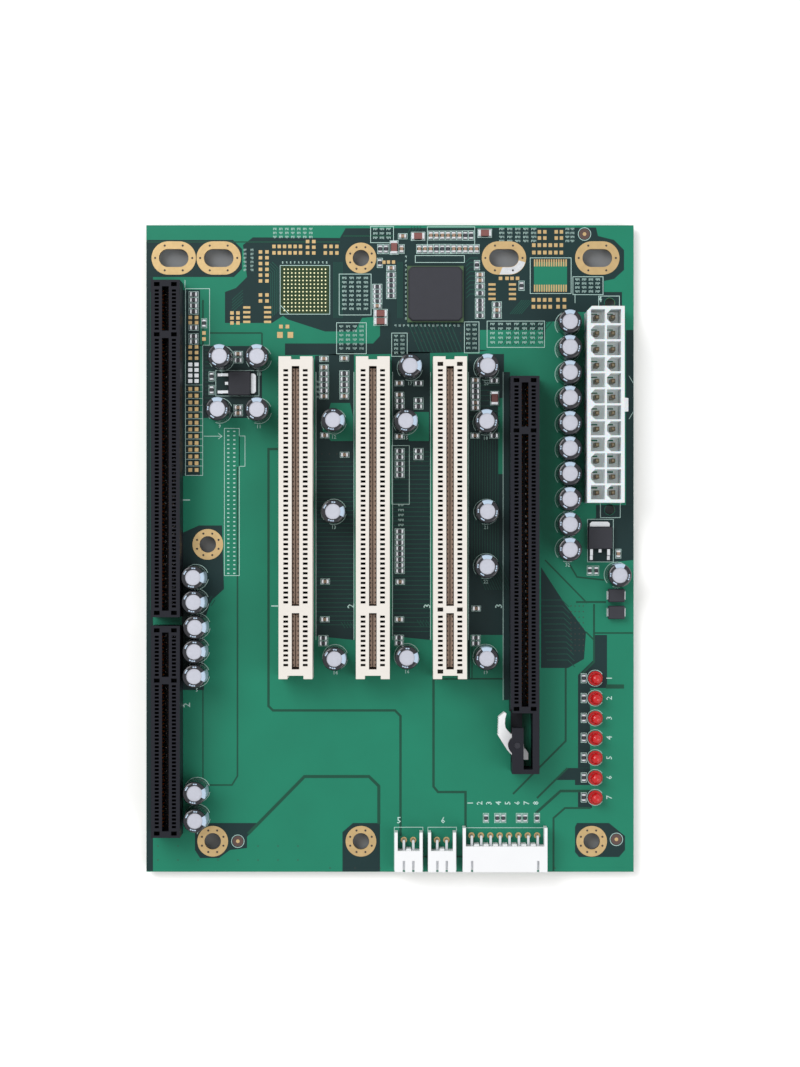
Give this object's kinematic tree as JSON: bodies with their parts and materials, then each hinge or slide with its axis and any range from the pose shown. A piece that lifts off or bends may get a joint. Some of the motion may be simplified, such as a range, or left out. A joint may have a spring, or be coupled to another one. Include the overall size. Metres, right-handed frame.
{
  "type": "passive backplane",
  "caption": "Green backplane board with white and black card edge slots, a white power header, capacitors and red indicator lamps",
  "frame": {"origin": "Middle of the board in X and Y, at the level of the tips of the locating pegs, on which the loose board rests", "axes": "+Z out of the component side, +Y to the edge with the four oval holes, +X to the edge with the power header"},
  "size_m": [0.13, 0.1724, 0.0164],
  "materials": {
    "epoxy_board": "solder-masked glass-epoxy laminate",
    "gold_plating": "thin gold plating",
    "white_nylon": "moulded",
    "black_nylon": "moulded",
    "spring_bronze": "gold-flashed strip",
    "pin_brass": "plated wire",
    "pin_steel": "bright",
    "sleeve_vinyl": "shrunk-on film",
    "can_aluminium": "satin",
    "seal_rubber": "matt",
    "tinned_metal": "tinned",
    "red_resin": "clear moulded resin",
    "chip_mould": "fine matt",
    "chip_laminate": "laminate",
    "resistor_body": "glazed",
    "capacitor_body": "fired"
  },
  "bodies": {
    "backplane": {"circuit_board": "epoxy_board", "mounting_hole_lands": "gold_plating", "expansion_slot_1_housing": "white_nylon", "expansion_slot_1_contacts": "spring_bronze", "expansion_slot_2_housing": "white_nylon", "expansion_slot_2_contacts": "spring_bronze", "expansion_slot_3_housing": "white_nylon", "expansion_slot_3_contacts": "spring_bronze", "long_host_slot_housing": "black_nylon", "long_host_slot_contacts": "spring_bronze", "short_host_slot_housing": "black_nylon", "short_host_slot_contacts": "spring_bronze", "graphics_slot_housing": "black_nylon", "graphics_slot_contacts": "spring_bronze", "latch_pivot_pin": "pin_steel", "power_header_housing": "white_nylon", "power_header_pins": "pin_brass", "voltage_tap_header_housing": "white_nylon", "voltage_tap_header_pins": "tinned_metal", "power_button_header_housing": "white_nylon", "power_button_header_pins": "tinned_metal", "reset_button_header_housing": "white_nylon", "reset_button_header_pins": "tinned_metal", "capacitor_sleeves": "sleeve_vinyl", "capacitor_cans": "can_aluminium", "capacitor_seals": "seal_rubber", "capacitor_leads": "tinned_metal", "indicator_lamp_lenses": "red_resin", "indicator_lamp_leads": "tinned_metal", "bridge_chip_substrate": "chip_laminate", "bridge_chip_mould": "chip_mould", "bridge_chip_solder_balls": "tinned_metal", "regulator_bodies": "chip_mould", "regulator_tabs": "tinned_metal", "regulator_leads": "tinned_metal", "rectifier_bodies": "chip_mould", "rectifier_terminals": "tinned_metal", "chip_resistor_bodies": "resistor_body", "chip_resistor_ends": "tinned_metal", "small_capacitor_bodies": "capacitor_body", "small_capacitor_ends": "tinned_metal", "large_capacitor_bodies": "capacitor_body", "large_capacitor_ends": "tinned_metal"},
    "latch": {"card_latch_lever": "white_nylon"}
  },
  "joints": [
    {"name": "latch_hinge", "type": "hinge", "parent": "backplane", "child": "latch", "pos_m": [0.03352, -0.05175, 0.0093], "axis": [0, 0, -1], "range_deg": [0, 9]}
  ]
}
